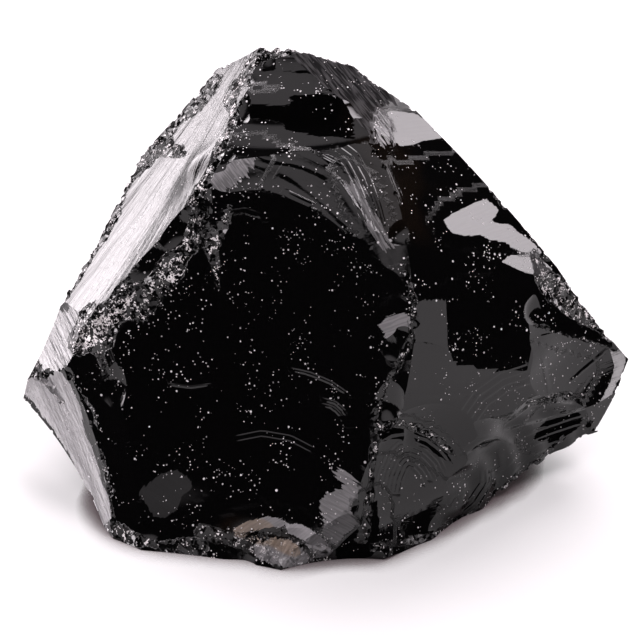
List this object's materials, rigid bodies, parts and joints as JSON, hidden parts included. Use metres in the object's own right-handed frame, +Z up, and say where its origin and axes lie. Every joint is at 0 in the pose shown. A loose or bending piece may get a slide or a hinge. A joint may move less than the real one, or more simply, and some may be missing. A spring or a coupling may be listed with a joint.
{
  "type": "obsidian chunk",
  "caption": "Rough chunk of black volcanic glass with a broad hollow front face, rippled curved breaks, sharp chipped ridges and a flat patch to rest on",
  "frame": {"origin": "middle of the bounding box across and front to back, at the height of the flat patch it rests on", "axes": "+X across the broad front face and the longest extent, +Y from the front face to the back, +Z up from the rest face"},
  "size_m": [0.1044, 0.0729, 0.0676],
  "materials": {
    "obsidian": "polished"
  },
  "bodies": {
    "root": {"obsidian_chunk": "obsidian"}
  },
  "joints": []
}
